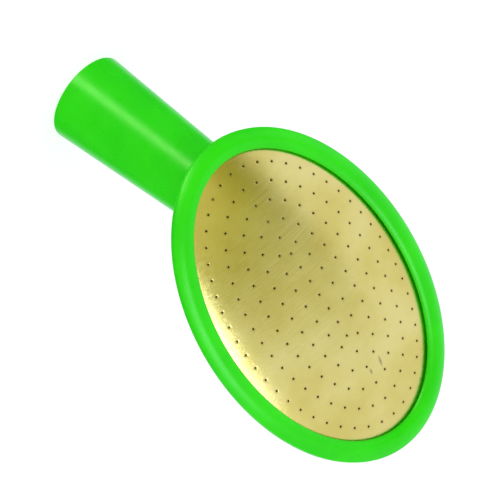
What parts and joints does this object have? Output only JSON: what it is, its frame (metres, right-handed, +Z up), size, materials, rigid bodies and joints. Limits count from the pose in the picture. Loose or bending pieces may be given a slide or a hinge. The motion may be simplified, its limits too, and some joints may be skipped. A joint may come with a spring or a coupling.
{
  "type": "watering rose",
  "caption": "Oval watering rose: a tapered push-on plastic socket flaring into a shallow oval head, with a domed, finely perforated brass face held by a moulded bezel.",
  "frame": {"origin": "centre of the socket's open end, on the socket's axis", "axes": "+Z runs up the socket's axis towards the head, -Y is the front, to which the face looks (the face's normal is 47.9 degrees forward of +Z), X = 0 is the plane of symmetry"},
  "size_m": [0.0878, 0.0833, 0.1486],
  "materials": {
    "green_plastic": "moulded, satin gloss",
    "brass_sheet": "fine brushed, slightly tarnished",
    "gasket_rubber": "matt"
  },
  "bodies": {
    "root": {"rose_body": "green_plastic", "bezel_ring": "green_plastic", "brass_face": "brass_sheet", "face_gasket": "gasket_rubber"}
  },
  "joints": []
}
